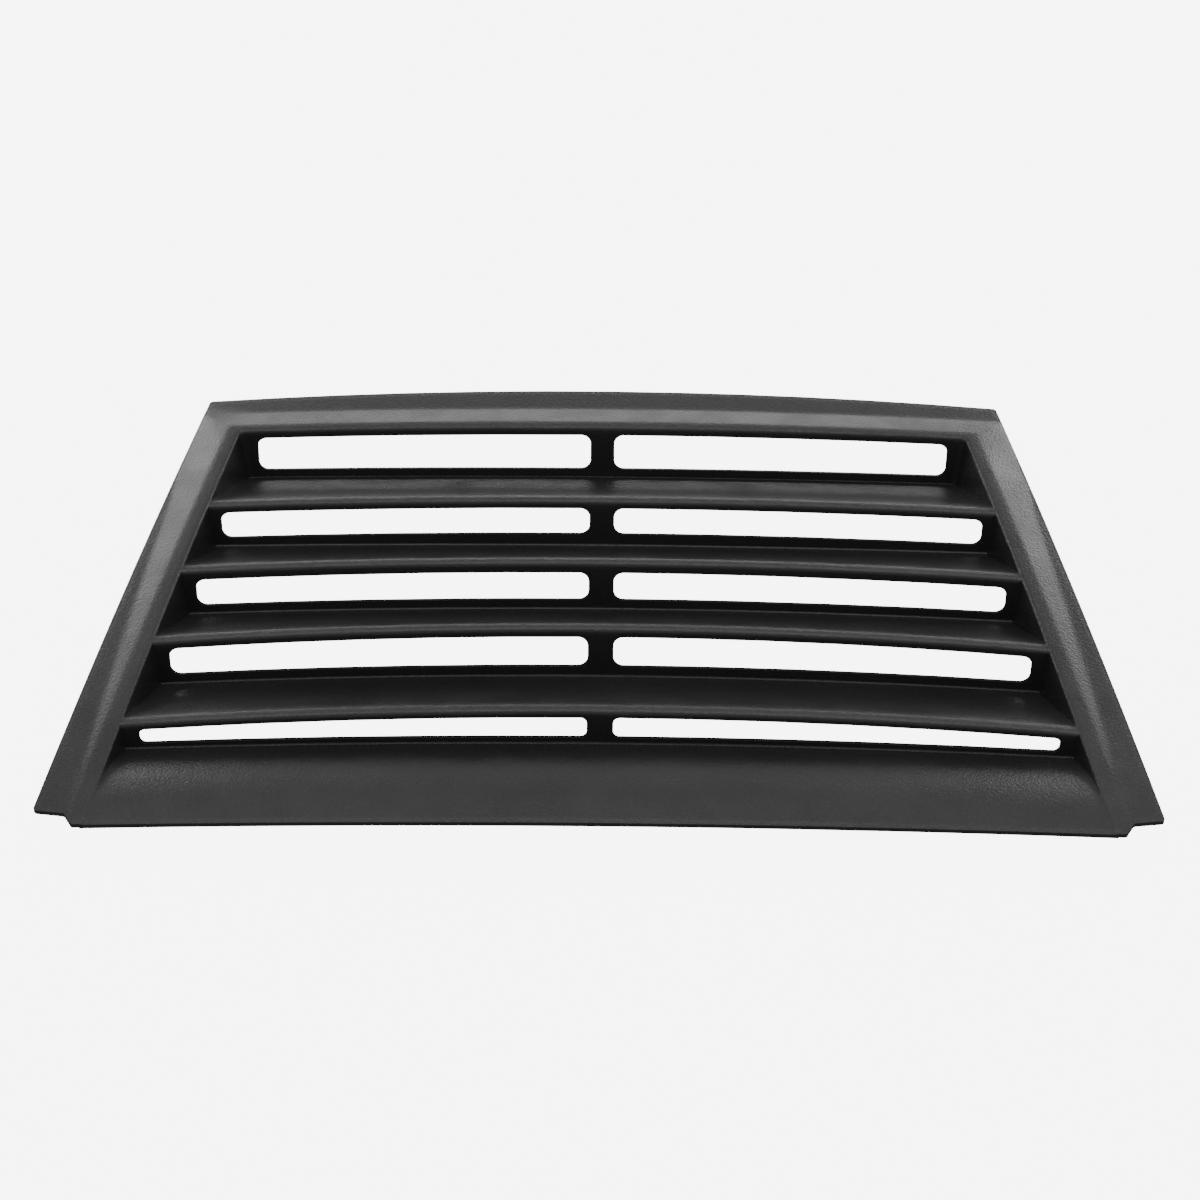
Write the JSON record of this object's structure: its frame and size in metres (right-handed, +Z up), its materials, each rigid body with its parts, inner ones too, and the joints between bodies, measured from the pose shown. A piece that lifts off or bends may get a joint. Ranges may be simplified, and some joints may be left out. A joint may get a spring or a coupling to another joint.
{
  "type": "car bonnet vent",
  "caption": "Trapezoid moulded bonnet vent panel with a raised bevelled rim and stepped louvre pockets whose back walls have pairs of slots.",
  "frame": {"origin": "centre of the bounding box at its lowest point, below the pockets", "axes": "+X across the car, +Y towards the narrow end (front of the car), +Z up, square to the bonnet"},
  "size_m": [0.6842, 0.4254, 0.0482],
  "materials": {
    "textured_plastic": "satin"
  },
  "bodies": {
    "root": {"vent_panel": "textured_plastic"}
  },
  "joints": []
}
